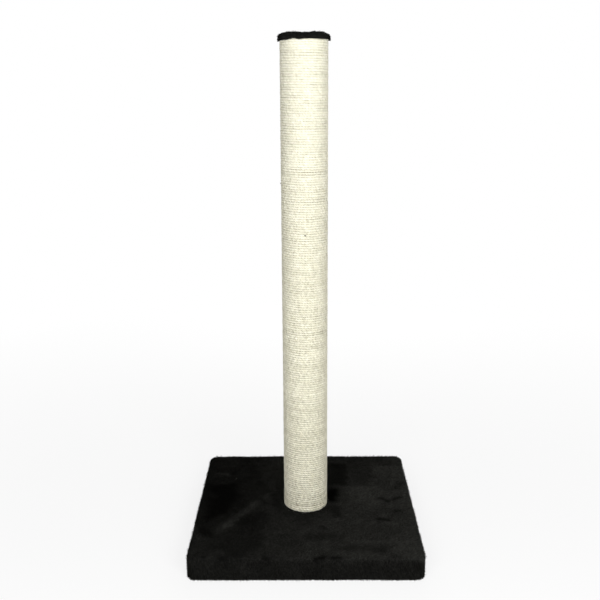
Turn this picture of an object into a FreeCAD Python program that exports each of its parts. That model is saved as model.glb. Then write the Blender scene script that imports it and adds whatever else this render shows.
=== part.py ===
"""Tall free-standing cat scratching post.

A square base of two boards, wrapped in black plush, carries a cardboard tube wound with sisal rope.
One bolt comes up through the base into a nut in the tube's lower plug, and a plush cap covers the top.
Sizes are in millimetres. +Z is up, -Y is the front, and the origin is the middle of the underside.
"""

import FreeCAD
import Part

import math
import os

Vector = FreeCAD.Vector
UP = Vector(0, 0, 1)
PARTS_FOLDER = "parts"
SAME_PLACE = 1e-6  # heights and lengths closer than this are the same
HEXAGON_SIDES = 6
DIAGONAL = 45.0  # degrees from +X, where tacks and prongs start

# --- Driving dimensions: post ---
tube_bore_diameter = 72.0
tube_wall = 4.5
tube_length = 945.5
rope_diameter = 4.2
rope_seat_gap = 0.3  # glue line between the tube and the rope
rope_turn_gap = 0.45  # between neighbouring turns
rope_end_gap = 0.2  # from the first and last turn to the tube's ends
rope_loops_each_end = 12  # turns that are made as rope; a sleeve of the same size stands for the rest
lower_plug_height = 36.0
upper_plug_height = 18.0
plug_clearance = 0.1

# --- Driving dimensions: base ---
board_side = 440.0
board_thickness = 18.0
board_corner_radius = 12.0
plush_thickness = 4.5  # backing and standing pile
crushed_plush_thickness = 1.5  # backing and pile under the post's foot
hem_thickness = 2.5  # backing and pile squeezed between the board and the floor
hem_width = 35.0
plush_gap = 0.15
top_edge_round = 8.0
bottom_edge_round = 5.0
seat_clearance = 0.5  # pile round the post's foot

# --- Driving dimensions: cap ---
cap_skirt_height = 8.0
cap_skirt_gap = 0.3
cap_skirt_thickness = 3.5
cap_edge_round = 4.5

# --- Driving dimensions: bolt joint ---
bolt_diameter = 10.0
bolt_tip_stand = 3.3  # how far the bolt comes out of its nut
bolt_head_height = 6.4
bolt_head_width = 16.0  # across the flats
bolt_tip_chamfer = 1.0
bolt_hole_clearance = 0.5  # radial, in the upper board, the plush and the lower plug
thread_clearance = 0.05  # radial, between the bolt and the nut
lock_washer_thickness = 2.2
lock_washer_diameter = 18.1
lock_washer_split = 1.2
penny_washer_thickness = 2.5
penny_washer_diameter = 40.0
washer_hole_clearance = 0.25
access_hole_diameter = 46.0
nut_flange_diameter = 26.0
nut_flange_thickness = 1.5
nut_barrel_diameter = 12.0
nut_barrel_length = 12.0
nut_barrel_clearance = 0.1
nut_prong_count = 4
nut_prong_length = 7.0
nut_prong_width = 4.0
nut_prong_inset = 1.2
nut_prong_clearance = 0.05

# --- Driving dimensions: small fasteners and pads ---
screw_diameter = 4.0
screw_tip_cover = 6.0  # of the upper board, over the screw's tip
screw_head_diameter = 8.0
screw_tip_length = 4.0
screw_clearance = 0.05
screw_recess_width = 0.9
screw_recess_span = 4.4
screw_recess_depth = 1.6
screw_from_hem = 20.0  # from the hem to the screws at the middle of each side
screw_from_pad = 45.0  # along X and Y, from a pad's middle to the screw on its diagonal
tack_diameter = 1.6
tack_length = 20.0
tack_head_diameter = 4.4
tack_head_thickness = 0.6
tack_clearance = 0.05
tacks_per_plug = 4
staple_crown = 10.0
staple_wire = 0.7
staple_leg = 9.0
staple_clearance = 0.05
staple_sink = 1.0  # how deep a crown is pulled into the hem
staples_per_side = 9
staple_from_hem_edge = 12.0
rope_staple_leg = 6.5
rope_staple_sink = 0.4  # how deep a crown is pulled into the rope
rope_staples_each_end = 2
rope_staple_spacing = 14.0
pad_diameter = 30.0
pad_from_hem = 20.0
pad_edge_round = 0.6

# --- Sizes and places that follow ---
tube_radius = tube_bore_diameter / 2 + tube_wall
plug_radius = tube_bore_diameter / 2 - plug_clearance
rope_line_radius = tube_radius + rope_seat_gap + rope_diameter / 2
post_radius = tube_radius + rope_seat_gap + rope_diameter
rope_pitch = rope_diameter + rope_turn_gap

lower_board_bottom = hem_thickness
upper_board_bottom = lower_board_bottom + board_thickness
upper_board_top = upper_board_bottom + board_thickness
base_top = upper_board_top + plush_thickness
base_side = board_side + 2 * plush_thickness
base_corner_radius = board_corner_radius + plush_thickness
hem_inner_edge = board_side / 2 - hem_width
pad_distance = hem_inner_edge - pad_from_hem - pad_diameter / 2
post_foot = upper_board_top + crushed_plush_thickness
post_top = post_foot + tube_length
lower_plug_top = post_foot + lower_plug_height
upper_plug_bottom = post_top - upper_plug_height

bolt_radius = bolt_diameter / 2
bolt_hole_radius = bolt_radius + bolt_hole_clearance
penny_washer_bottom = upper_board_bottom - penny_washer_thickness
lock_washer_bottom = penny_washer_bottom - lock_washer_thickness
bolt_head_bottom = lock_washer_bottom - bolt_head_height
nut_top = lower_plug_top + nut_flange_thickness
nut_barrel_bottom = lower_plug_top - nut_barrel_length
bolt_tip = nut_top + bolt_tip_stand

lower_tack_height = post_foot + lower_plug_height / 2
upper_tack_height = post_top - upper_plug_height / 2

rope_rise = rope_pitch * rope_loops_each_end
lower_rope_height = post_foot + rope_end_gap + rope_diameter / 2
upper_rope_height = post_top - rope_end_gap - rope_diameter / 2 - rope_rise
rope_ends_height = rope_end_gap + rope_diameter + rope_rise
sleeve_bottom = post_foot + rope_ends_height + rope_turn_gap
sleeve_top = post_top - rope_ends_height - rope_turn_gap


def cylinder(radius, bottom, height, x=0.0, y=0.0):
    """An upright cylinder."""
    return Part.makeCylinder(radius, height, Vector(x, y, bottom), UP)


def ring(outer_radius, inner_radius, bottom, height):
    """An upright cylinder with a bore."""
    return cylinder(outer_radius, bottom, height).cut(cylinder(inner_radius, bottom, height))


def block(size_x, size_y, size_z, centre_x, centre_y, bottom):
    """A box, centred on a point in X and Y."""
    corner = Vector(centre_x - size_x / 2, centre_y - size_y / 2, bottom)
    return Part.makeBox(size_x, size_y, size_z, corner)


def upright_edges(shape):
    """The straight edges that run along Z."""
    found = []
    for edge in shape.Edges:
        low, high = edge.BoundBox.ZMin, edge.BoundBox.ZMax
        if abs(edge.Length - (high - low)) < SAME_PLACE:
            found.append(edge)
    return found


def edges_at(shape, height):
    """The edges that lie wholly at one height."""
    found = []
    for edge in shape.Edges:
        low, high = edge.BoundBox.ZMin, edge.BoundBox.ZMax
        if max(abs(low - height), abs(high - height)) < SAME_PLACE:
            found.append(edge)
    return found


def rounded_plate(side, corner_radius, bottom, height):
    """A square plate with round corners, seen from above."""
    plate = block(side, side, height, 0, 0, bottom)
    return plate.makeFillet(corner_radius, upright_edges(plate))


def turned(profile_points):
    """A solid turned about Z from a closed outline of (radius, height) points."""
    points = [Vector(radius, 0, height) for radius, height in profile_points]
    outline = Part.makePolygon(points + [points[0]])
    return Part.Face(outline).revolve(Vector(0, 0, 0), UP, 360)


def around(shape, count, first_angle=0.0):
    """Copies of a shape, evenly spaced about Z."""
    copies = []
    for index in range(count):
        copy = shape.copy()
        copy.rotate(Vector(0, 0, 0), UP, first_angle + index * 360 / count)
        copies.append(copy)
    return copies


def export(node, shape):
    """Writes one node's solids and prints how many there are."""
    shape.exportStep(os.path.join(PARTS_FOLDER, node + ".step"))
    print(f"{node}: {len(shape.Solids)} solid(s), valid {shape.isValid()}")


# --- Base ---


def at_screw_places(shape):
    """A copy of a shape on the Z axis, at each screw that joins the two boards."""
    side = hem_inner_edge - screw_from_hem
    corner = pad_distance - screw_from_pad
    return around(shape.translated(Vector(side, 0, 0)), 4) + around(
        shape.translated(Vector(corner, corner, 0)), 4
    )


def screw_body(clearance=0.0):
    """A countersunk chipboard screw on the Z axis, its head flush with the lower board's underside."""
    head = screw_head_diameter / 2 + clearance
    shank = screw_diameter / 2 + clearance
    bottom = lower_board_bottom
    neck = bottom + head - shank
    tip = upper_board_top - screw_tip_cover + clearance
    return turned(
        [(0, bottom), (head, bottom), (shank, neck), (shank, tip - screw_tip_length), (0, tip)]
    )


def make_screw():
    """One screw with its cross recess."""
    screw = screw_body()
    for size_x, size_y in (
        (screw_recess_span, screw_recess_width),
        (screw_recess_width, screw_recess_span),
    ):
        screw = screw.cut(block(size_x, size_y, screw_recess_depth, 0, 0, lower_board_bottom))
    return screw


def make_board(bottom):
    """One of the two boards, bored for the screws that reach into it."""
    board = rounded_plate(board_side, board_corner_radius, bottom, board_thickness)
    return board.cut(at_screw_places(screw_body(screw_clearance)))


def make_upper_board():
    """The board under the post, with the bolt's hole."""
    hole = cylinder(bolt_hole_radius, upper_board_bottom, board_thickness)
    return make_board(upper_board_bottom).cut(hole)


def make_lower_board():
    """The board nearer the floor, with a wide hole for the bolt's head and a spanner."""
    hole = cylinder(access_hole_diameter / 2, lower_board_bottom, board_thickness)
    return make_board(lower_board_bottom).cut([hole] + at_hem_staples(hem_staple_slot()))


def staple(leg_length, clearance=0.0, sink=0.0):
    """A staple with its crown along X at the origin and its legs up, or the slot that one fills."""
    width = staple_wire + 2 * clearance
    crown_height = sink + staple_wire + clearance
    crown = block(staple_crown + 2 * clearance, width, crown_height, 0, 0, -sink)
    leg_shift = (staple_crown - staple_wire) / 2
    legs = [
        block(width, width, leg_length + clearance, shift, 0, 0)
        for shift in (-leg_shift, leg_shift)
    ]
    return crown.fuse(legs).removeSplitter()


def hem_staple_slot():
    """The slot of one hem staple, open to the hem's underside."""
    return staple(staple_leg, staple_clearance, staple_sink)


def at_hem_staples(shape):
    """A copy of a staple or its slot at each place along the hem's four sides."""
    step = 2 * hem_inner_edge / staples_per_side
    distance = hem_inner_edge + staple_from_hem_edge
    copies = []
    for index in range(staples_per_side):
        x = -hem_inner_edge + step * (index + 0.5)
        copies += around(shape.translated(Vector(x, -distance, staple_sink)), 4)
    return copies


def make_plush_cover():
    """Plush over the top and sides of the boards, turned under and stapled as a hem."""
    cover = rounded_plate(base_side, base_corner_radius, 0, base_top)
    cover = cover.makeFillet(top_edge_round, edges_at(cover, base_top))
    cover = cover.makeFillet(bottom_edge_round, edges_at(cover, 0))
    boards = rounded_plate(
        board_side + 2 * plush_gap,
        board_corner_radius + plush_gap,
        lower_board_bottom,
        2 * board_thickness,
    )
    inside_hem = block(2 * hem_inner_edge, 2 * hem_inner_edge, hem_thickness, 0, 0, 0)
    seat = cylinder(post_radius + seat_clearance, post_foot, plush_thickness)
    bolt_hole = cylinder(bolt_hole_radius, upper_board_top, plush_thickness)
    slots = at_hem_staples(hem_staple_slot())
    return cover.cut([boards, inside_hem, seat, bolt_hole] + slots)


def make_pad(x, y):
    """A round pad on the lower board, level with the hem."""
    pad = cylinder(pad_diameter / 2, 0, hem_thickness, x, y)
    return pad.makeFillet(pad_edge_round, edges_at(pad, 0))


# --- Bolt joint ---


def make_bolt():
    """Hexagon bolt, head down, up through the base into the lower plug's nut."""
    flat_radius = bolt_head_width / 2
    half_side_angle = math.pi / HEXAGON_SIDES
    corner_radius = flat_radius / math.cos(half_side_angle)
    corners = []
    for index in range(HEXAGON_SIDES):
        angle = 2 * half_side_angle * index
        x, y = corner_radius * math.cos(angle), corner_radius * math.sin(angle)
        corners.append(Vector(x, y, bolt_head_bottom))
    outline = Part.makePolygon(corners + [corners[0]])
    head = Part.Face(outline).extrude(Vector(0, 0, bolt_head_height))
    chamfer_rise = (corner_radius - flat_radius) * math.tan(half_side_angle)
    rounding = turned(
        [
            (0, bolt_head_bottom),
            (flat_radius, bolt_head_bottom),
            (corner_radius, bolt_head_bottom + chamfer_rise),
            (corner_radius, lock_washer_bottom),
            (0, lock_washer_bottom),
        ]
    )
    shank = turned(
        [
            (0, lock_washer_bottom),
            (bolt_radius, lock_washer_bottom),
            (bolt_radius, bolt_tip - bolt_tip_chamfer),
            (bolt_radius - bolt_tip_chamfer, bolt_tip),
            (0, bolt_tip),
        ]
    )
    return head.common(rounding).fuse(shank)


def make_penny_washer():
    """Wide washer against the upper board."""
    hole = bolt_radius + washer_hole_clearance
    return ring(penny_washer_diameter / 2, hole, penny_washer_bottom, penny_washer_thickness)


def make_lock_washer():
    """Split spring washer under the bolt's head."""
    hole = bolt_radius + washer_hole_clearance
    washer = ring(lock_washer_diameter / 2, hole, lock_washer_bottom, lock_washer_thickness)
    split = block(
        lock_washer_diameter,
        lock_washer_split,
        lock_washer_thickness,
        lock_washer_diameter / 2,
        0,
        lock_washer_bottom,
    )
    return washer.cut(split)


def nut_prongs(clearance=0.0):
    """The nut's prongs, or with a clearance the slots that they fill in the plug."""
    prong = block(
        nut_flange_thickness + 2 * clearance,
        nut_prong_width + 2 * clearance,
        nut_prong_length + clearance,
        nut_flange_diameter / 2 - nut_prong_inset - nut_flange_thickness / 2,
        0,
        lower_plug_top - nut_prong_length - clearance,
    )
    return around(prong, nut_prong_count, DIAGONAL)


def make_tee_nut():
    """Pronged nut pressed into the top of the lower plug."""
    flange = cylinder(nut_flange_diameter / 2, lower_plug_top, nut_flange_thickness)
    barrel = cylinder(nut_barrel_diameter / 2, nut_barrel_bottom, nut_barrel_length)
    bore = cylinder(bolt_radius + thread_clearance, nut_barrel_bottom, nut_top - nut_barrel_bottom)
    return flange.fuse([barrel] + nut_prongs()).cut(bore).removeSplitter()


# --- Post ---


def tack_body(height, clearance=0.0):
    """A tack driven in along -X at a height, its head flush with the tube's outside."""
    inward = Vector(-1, 0, 0)
    start = Vector(tube_radius + clearance, 0, height)
    head = Part.makeCylinder(
        tack_head_diameter / 2 + clearance, tack_head_thickness + 2 * clearance, start, inward
    )
    shank = Part.makeCylinder(
        tack_diameter / 2 + clearance, tack_length + 2 * clearance, start, inward
    )
    return head.fuse(shank)


def tack_ring(height, clearance=0.0):
    """The tacks that hold one plug, or with a clearance the holes that they fill."""
    return around(tack_body(height, clearance), tacks_per_plug, DIAGONAL)


def make_tube():
    """Cardboard tube, holed by the tacks and the rope's staples."""
    tube = ring(tube_radius, tube_bore_diameter / 2, post_foot, tube_length)
    holes = tack_ring(lower_tack_height, tack_clearance)
    holes += tack_ring(upper_tack_height, tack_clearance)
    holes += at_rope_ends(rope_staple_slot())
    return tube.cut(holes)


def make_lower_plug():
    """Wooden plug in the tube's foot, bored for the bolt and the nut's barrel."""
    plug = cylinder(plug_radius, post_foot, lower_plug_height)
    bolt_hole = cylinder(bolt_hole_radius, post_foot, lower_plug_height)
    barrel_hole = cylinder(
        nut_barrel_diameter / 2 + nut_barrel_clearance,
        nut_barrel_bottom - nut_barrel_clearance,
        nut_barrel_length + nut_barrel_clearance,
    )
    holes = [bolt_hole, barrel_hole] + nut_prongs(nut_prong_clearance)
    return plug.cut(holes + tack_ring(lower_tack_height, tack_clearance))


def make_upper_plug():
    """Wooden plug that closes the tube's top."""
    plug = cylinder(plug_radius, upper_plug_bottom, upper_plug_height)
    return plug.cut(tack_ring(upper_tack_height, tack_clearance))


def rope_point(angle, first_height):
    """A point of the rope's line, which climbs one pitch a turn about Z."""
    height = first_height + rope_pitch * angle / (2 * math.pi)
    return Vector(
        rope_line_radius * math.sin(angle), rope_line_radius * math.cos(angle), height
    )


def rope_direction(angle):
    """The rope's direction at a point of its line."""
    climb = rope_pitch / (2 * math.pi)
    direction = Vector(
        rope_line_radius * math.cos(angle), -rope_line_radius * math.sin(angle), climb
    )
    return direction.normalize()


def arc_between(start, corner, end):
    """The arc from start to end that is tangent to the lines to their corner."""
    middle = (start + end) * 0.5
    half_chord = (end - start).Length / 2
    rise = (corner - middle).Length
    half_angle = math.atan2(rise, half_chord)
    crown = middle + (corner - middle) * (half_chord * math.tan(half_angle / 2) / rise)
    return Part.Arc(start, crown, end).toShape()


def two_arcs(start, start_direction, end, end_direction):
    """Two arcs that join smoothly between two points with given directions."""
    across = end - start
    both = start_direction + end_direction
    spread = 2 * (1 - start_direction.dot(end_direction))
    along = across.dot(both)
    reach = (math.sqrt(along * along + spread * across.dot(across)) - along) / spread
    first_corner = start + start_direction * reach
    second_corner = end - end_direction * reach
    joint = (first_corner + second_corner) * 0.5
    return [arc_between(start, first_corner, joint), arc_between(joint, second_corner, end)]


def rope_edges(first_height):
    """The line of one end's turns: straight for one diameter, then half turns, then straight."""
    angles = [index * math.pi for index in range(2 * rope_loops_each_end + 1)]
    points = [rope_point(angle, first_height) for angle in angles]
    directions = [rope_direction(angle) for angle in angles]
    edges = [Part.makeLine(points[0] - directions[0] * rope_diameter, points[0])]
    for index in range(len(points) - 1):
        edges += two_arcs(
            points[index], directions[index], points[index + 1], directions[index + 1]
        )
    edges.append(Part.makeLine(points[-1], points[-1] + directions[-1] * rope_diameter))
    return edges


def least_rope_gap(edges):
    """The least clear distance from the rope to itself, measured between points of turns apart."""
    points_per_arc = 13
    points = []
    for edge in edges[1:-1]:
        points += edge.discretize(points_per_arc)[:-1]
    half_turn = 2 * (points_per_arc - 1)
    least = math.inf
    for index, point in enumerate(points):
        for other in points[index + half_turn : index + 3 * half_turn]:
            least = min(least, (point - other).Length)
    return least - rope_diameter


def make_rope_turns(first_height):
    """One end's turns of rope as one unbroken tube."""
    edges = rope_edges(first_height)
    gap = least_rope_gap(edges)
    path = Part.Wire(edges)
    start = path.Vertexes[0].Point
    section = Part.Wire(Part.makeCircle(rope_diameter / 2, start, rope_direction(0)))
    rope = path.makePipeShell([section], True, False)
    expected = math.pi * rope_diameter**2 / 4 * path.Length
    print(f"rope length {path.Length:.0f}, volume over section times length {rope.Volume / expected:.4f}")
    print(f"least gap of the rope to itself {gap:.2f}")
    return rope.cut(at_rope_ends(rope_staple_slot()))


def make_sleeve():
    """The rest of the winding, as a plain sleeve of the rope's own size."""
    return ring(
        post_radius, tube_radius + rope_seat_gap, sleeve_bottom, sleeve_top - sleeve_bottom
    )


def rope_staple_slot():
    """The slot of one rope staple, open to the post's outside."""
    return staple(rope_staple_leg, staple_clearance, rope_staple_sink)


def at_rope_ends(shape):
    """A copy of a staple or its slot at each place where one holds an end of the rope."""
    last_angle = 2 * math.pi * rope_loops_each_end
    copies = []
    for index in range(rope_staples_each_end):
        turn = rope_staple_spacing * (index + 0.5) / rope_line_radius
        for angle, first_height in (
            (turn, lower_rope_height),
            (last_angle - turn, upper_rope_height),
        ):
            height = rope_point(angle, first_height).z
            copy = shape.copy()
            copy.rotate(Vector(0, 0, 0), Vector(1, 0, 0), 90)
            copy.translate(Vector(0, post_radius - rope_staple_sink, height))
            copy.rotate(Vector(0, 0, 0), UP, -math.degrees(angle))
            copies.append(copy)
    return copies


def make_cap():
    """Plush disc over the post's top, its edge turned down over the last turns of rope."""
    inner = post_radius + cap_skirt_gap
    outer = inner + cap_skirt_thickness
    skirt_bottom = post_top - cap_skirt_height
    top = post_top + plush_thickness
    cap = cylinder(outer, skirt_bottom, top - skirt_bottom)
    cap = cap.makeFillet(cap_edge_round, edges_at(cap, top))
    return cap.cut(cylinder(inner, skirt_bottom, cap_skirt_height))


def main():
    os.makedirs(PARTS_FOLDER, exist_ok=True)

    export("base_board_lower", make_lower_board())
    export("base_board_upper", make_upper_board())
    export("base_board_screws", Part.makeCompound(at_screw_places(make_screw())))
    export("base_plush_cover", make_plush_cover())
    export("hem_staples", Part.makeCompound(at_hem_staples(staple(staple_leg))))
    for name, x, y in (
        ("front_left", -pad_distance, -pad_distance),
        ("front_right", pad_distance, -pad_distance),
        ("back_left", -pad_distance, pad_distance),
        ("back_right", pad_distance, pad_distance),
    ):
        export("foot_pad_" + name, make_pad(x, y))

    export("post_bolt", make_bolt())
    export("lock_washer", make_lock_washer())
    export("penny_washer", make_penny_washer())
    export("tee_nut", make_tee_nut())

    export("post_tube", make_tube())
    export("lower_plug", make_lower_plug())
    export("upper_plug", make_upper_plug())
    export("lower_plug_tacks", Part.makeCompound(tack_ring(lower_tack_height)))
    export("upper_plug_tacks", Part.makeCompound(tack_ring(upper_tack_height)))
    export("sisal_rope_lower_turns", make_rope_turns(lower_rope_height))
    export("sisal_winding", make_sleeve())
    export("sisal_rope_upper_turns", make_rope_turns(upper_rope_height))
    export("rope_end_staples", Part.makeCompound(at_rope_ends(staple(rope_staple_leg))))
    export("cap_plush", make_cap())
    print(f"base {base_side:.1f} square, height {post_top + plush_thickness:.1f}")


main()
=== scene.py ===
"""The looks of a cat scratching post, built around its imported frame.

A tall post wound with sisal rope stands on a square base covered in black plush, under a small
plush cap. The rope, the plush and the cap are modelled here. The boards, the tube, the plugs and
the fastenings come from the frame and get their materials here. Everything is in metres.
"""

import math

import bpy
import numpy as np
from mathutils import Matrix, Vector

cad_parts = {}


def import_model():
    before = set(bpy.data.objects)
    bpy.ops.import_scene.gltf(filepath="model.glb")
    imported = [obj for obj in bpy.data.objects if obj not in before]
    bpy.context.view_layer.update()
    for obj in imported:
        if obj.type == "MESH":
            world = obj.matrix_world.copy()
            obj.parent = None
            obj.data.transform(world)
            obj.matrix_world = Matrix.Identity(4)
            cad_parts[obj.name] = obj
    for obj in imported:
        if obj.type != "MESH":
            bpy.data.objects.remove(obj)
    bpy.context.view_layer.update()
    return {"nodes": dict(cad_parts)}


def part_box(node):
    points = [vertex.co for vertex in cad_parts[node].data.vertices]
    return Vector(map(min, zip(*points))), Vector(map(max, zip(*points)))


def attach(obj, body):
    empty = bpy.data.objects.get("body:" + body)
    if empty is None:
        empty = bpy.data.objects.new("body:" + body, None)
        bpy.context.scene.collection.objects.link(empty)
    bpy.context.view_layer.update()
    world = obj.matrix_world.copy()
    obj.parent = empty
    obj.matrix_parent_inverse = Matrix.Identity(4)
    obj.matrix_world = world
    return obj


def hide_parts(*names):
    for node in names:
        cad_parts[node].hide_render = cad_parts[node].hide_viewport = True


MM = 0.001
TAU = 2 * math.pi

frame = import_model()
nodes = frame["nodes"]


# ---------------------------------------------------------------- meshes

def mesh_piece(name, points, faces, material, slot=None):
    """A smooth shaded mesh object, from an array of points and one or two arrays of faces.

    With a slot it is a piece of the object, and rides on the one body.
    """
    faces = [np.asarray(f, np.int32) for f in faces]
    corners = np.concatenate([f.ravel() for f in faces])
    sizes = np.concatenate([np.full(len(f), f.shape[1], np.int32) for f in faces])
    starts = (np.cumsum(sizes) - sizes).astype(np.int32)
    mesh = bpy.data.meshes.new(name)
    mesh.vertices.add(len(points))
    mesh.vertices.foreach_set("co", np.asarray(points, np.float32).ravel())
    mesh.loops.add(len(corners))
    mesh.loops.foreach_set("vertex_index", corners)
    mesh.polygons.add(len(sizes))
    mesh.polygons.foreach_set("loop_start", starts)
    mesh.polygons.foreach_set("use_smooth", np.ones(len(sizes), bool))
    mesh.update(calc_edges=True)
    piece = bpy.data.objects.new(name, mesh)
    bpy.context.scene.collection.objects.link(piece)
    mesh.materials.append(material)
    if slot:
        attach(piece, "root")
    return piece


def point_values(piece, name, values):
    """Stores a number, or a vector, at each point of a mesh, for its material to read."""
    values = np.asarray(values, np.float32)
    kind, key = ("FLOAT", "value") if values.ndim == 1 else ("FLOAT_VECTOR", "vector")
    piece.data.attributes.new(name, kind, "POINT").data.foreach_set(key, values.ravel())


def corner_places(piece, places):
    """Stores where each face corner lies on the piece's flat map, from 0 to 1 each way."""
    layer = piece.data.uv_layers.new(name="OFBake")
    layer.data.foreach_set("uv", np.asarray(places, np.float32).ravel())


def unit(vectors):
    """The vectors, made 1 long."""
    return vectors / np.maximum(np.linalg.norm(vectors, axis=-1, keepdims=True), 1e-12)


def ripples(seed, shortest, longest, waves=14, favour=(1, 1, 1)):
    """A smooth random field, about -1 to 1: a sum of sine waves between two wavelengths.

    Their headings are random, or lie nearer to the axes that are favoured.
    """
    draw = np.random.RandomState(seed)
    lengths = np.exp(draw.uniform(math.log(shortest), math.log(longest), waves))
    heading = unit(draw.normal(size=(waves, 3)) * favour)
    shift = draw.uniform(0, TAU, waves)

    def field(points):
        phase = (points @ (heading / lengths[:, None]).T) * TAU + shift
        return np.sin(phase).sum(-1) / math.sqrt(waves)

    return field


def grid_faces(rows, columns, close_rows=False):
    """The quads between rings of points, one row for each ring. The rows may close on themselves."""
    row = np.arange(rows if close_rows else rows - 1)[:, None]
    column = np.arange(columns)[None, :]
    below = row * columns
    above = (row + 1) % rows * columns
    beside = (column + 1) % columns
    return np.stack([below + column, below + beside, above + beside, above + column], -1).reshape(-1, 4)


# ---------------------------------------------------------------- materials

def rgb(red, green, blue):
    """A colour written as it looks on a screen, 0 to 255, as linear light."""
    return tuple(
        (v / 255 / 12.92 if v <= 10 else ((v / 255 + 0.055) / 1.055) ** 2.4) for v in (red, green, blue)
    ) + (1.0,)


def feed(tree, socket, value):
    """Links another node's output to a socket, or sets the socket to a number or a colour."""
    if isinstance(value, bpy.types.NodeSocket):
        tree.links.new(value, socket)
    else:
        socket.default_value = value


def shader_node(tree, kind, inputs, **settings):
    """A new node with its settings, and with its inputs linked or set."""
    made = tree.nodes.new("ShaderNode" + kind)
    for key, value in settings.items():
        setattr(made, key, value)
    for key, value in inputs.items():
        feed(tree, made.inputs[key], value)
    return made


class Finish:
    """A node material, built up from a few kinds of node."""

    def __init__(self, name, roughness, **constants):
        self.material = bpy.data.materials.new(name)
        self.material.use_nodes = True
        self.tree = self.material.node_tree
        self.shader = self.tree.nodes["Principled BSDF"]
        self.set("Roughness", roughness)
        for socket, value in constants.items():
            self.set(socket.replace("_", " "), value)

    def set(self, socket, value):
        feed(self.tree, self.shader.inputs[socket], value)

    def node(self, kind, inputs, **settings):
        return shader_node(self.tree, kind, inputs, **settings)

    def place(self, stretch=(1, 1, 1), turn=(0, 0, 0), attribute=None):
        """Where a point is on the object, or in one of its own coordinates, stretched or turned."""
        if attribute:
            source = self.node("Attribute", {}, attribute_name=attribute).outputs["Vector"]
        else:
            source = self.node("TexCoord", {}).outputs["Object"]
        inputs = {"Vector": source, "Scale": stretch, "Rotation": turn}
        return self.node("Mapping", inputs).outputs["Vector"]

    def value(self, attribute):
        return self.node("Attribute", {}, attribute_name=attribute).outputs["Fac"]

    def noise(self, vector, scale, detail=2.0, roughness=0.5, distortion=0.0):
        inputs = {
            "Vector": vector, "Scale": scale, "Detail": detail,
            "Roughness": roughness, "Distortion": distortion,
        }
        return self.node("TexNoise", inputs).outputs["Fac"]

    def cells(self, vector, scale, output="Color"):
        return self.node("TexVoronoi", {"Vector": vector, "Scale": scale}).outputs[output]

    def ramp(self, value, *stops):
        """Turns a number into a colour or a number, through stops of (number, colour or number)."""
        made = self.node("ValToRGB", {"Fac": value})
        ramp = made.color_ramp
        while len(ramp.elements) < len(stops):
            ramp.elements.new(0.5)
        for element, (position, colour) in zip(ramp.elements, stops):
            element.position = position
            element.color = colour if hasattr(colour, "__len__") else (colour, colour, colour, 1)
        return made.outputs["Color"]

    def mix(self, share, first, second, blend="MIX"):
        """Mixes two colours. Inputs 6 and 7 of the node, and its output 2, are those for colours."""
        inputs = {0: share, 6: first, 7: second}
        return self.node("Mix", inputs, data_type="RGBA", blend_type=blend).outputs[2]

    def maths(self, operation, first, second):
        return self.node("Math", {0: first, 1: second}, operation=operation).outputs[0]

    def colour(self, value):
        self.set("Base Color", value)

    def bump(self, height, depth, strength):
        inputs = {"Height": height, "Distance": depth, "Strength": strength}
        self.set("Normal", self.node("Bump", inputs).outputs["Normal"])

    def use(self, *names):
        """Puts the material on nodes that come from the frame."""
        for name in names:
            nodes[name].data.materials.clear()
            nodes[name].data.materials.append(self.material)


def sisal_finish(name, streaks):
    """Pale twisted sisal: fine fibres that run with the strands, with a few brown flecks."""
    made = Finish(
        name, 0.82, Specular_IOR_Level=0.15,
        Sheen_Weight=0.03, Sheen_Roughness=0.5, Sheen_Tint=rgb(244, 232, 180),
    )
    fine = made.noise(made.place(stretch=streaks, attribute="grain"), 1.0, 5.0, 0.68)
    fleck = made.noise(made.place(stretch=tuple(0.8 * s for s in streaks), attribute="grain"), 1.0, 1.0)
    blotch = made.noise(made.place(stretch=(1, 1, 0.5)), 90.0, 2.0)
    pale = made.ramp(
        fine,
        (0.28, rgb(190, 182, 150)), (0.42, rgb(229, 226, 202)),
        (0.54, rgb(246, 244, 229)), (0.72, rgb(253, 251, 242)),
    )
    warm = made.mix(made.ramp(blotch, (0.40, 0.0), (0.75, 0.10)), pale, rgb(241, 236, 213))
    flecked = made.mix(made.ramp(fleck, (0.67, 0.0), (0.74, 0.55)), warm, rgb(178, 160, 122))
    # The tone values darken the fibres' colour: on the rope they hold its own tone, with painted shade in
    # the grooves and painted light and shade on the swells.
    shade = made.ramp(
        made.value("tone"),
        (0.0, (0.02, 0.016, 0.010, 1)), (0.2, (0.20, 0.18, 0.14, 1)),
        (0.6, (0.60, 0.585, 0.525, 1)), (1.0, 1.0),
    )
    made.colour(made.mix(1.0, flecked, shade, "MULTIPLY"))
    made.bump(fine, 0.35 * MM, 0.9)
    return made.material


def plush_finish(name, wisp):
    """Black plush: its fibres take their colour from the nap values, which hold painted shade at the tufts'
    roots and on the cloth, and on the base painted sheen too; with a trace of real sheen.
    """
    made = Finish(
        name, 1.0, Specular_IOR_Level=0.0,
        Sheen_Weight=0.012, Sheen_Roughness=0.6, Sheen_Tint=rgb(220, 220, 205),
    )
    clumps = made.noise(made.place(), 190.0, 3.0, 0.6)
    wisps = made.noise(made.place(stretch=(1, 0.4, 1), turn=(0, 0, 0.6)), 800.0, 2.0, 0.6)
    nap = made.mix(1.0, PLUSH_TINT, made.value("nap"), "MULTIPLY")
    mottled = made.mix(1.0, nap, made.ramp(clumps, (0.35, 0.78), (0.65, 1.15)), "MULTIPLY")
    made.colour(made.mix(made.ramp(wisps, (0.62, 0.0), (0.80, wisp)), mottled, rgb(52, 52, 50)))
    made.bump(clumps, 0.6 * MM, 0.6)
    return made.material


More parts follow.
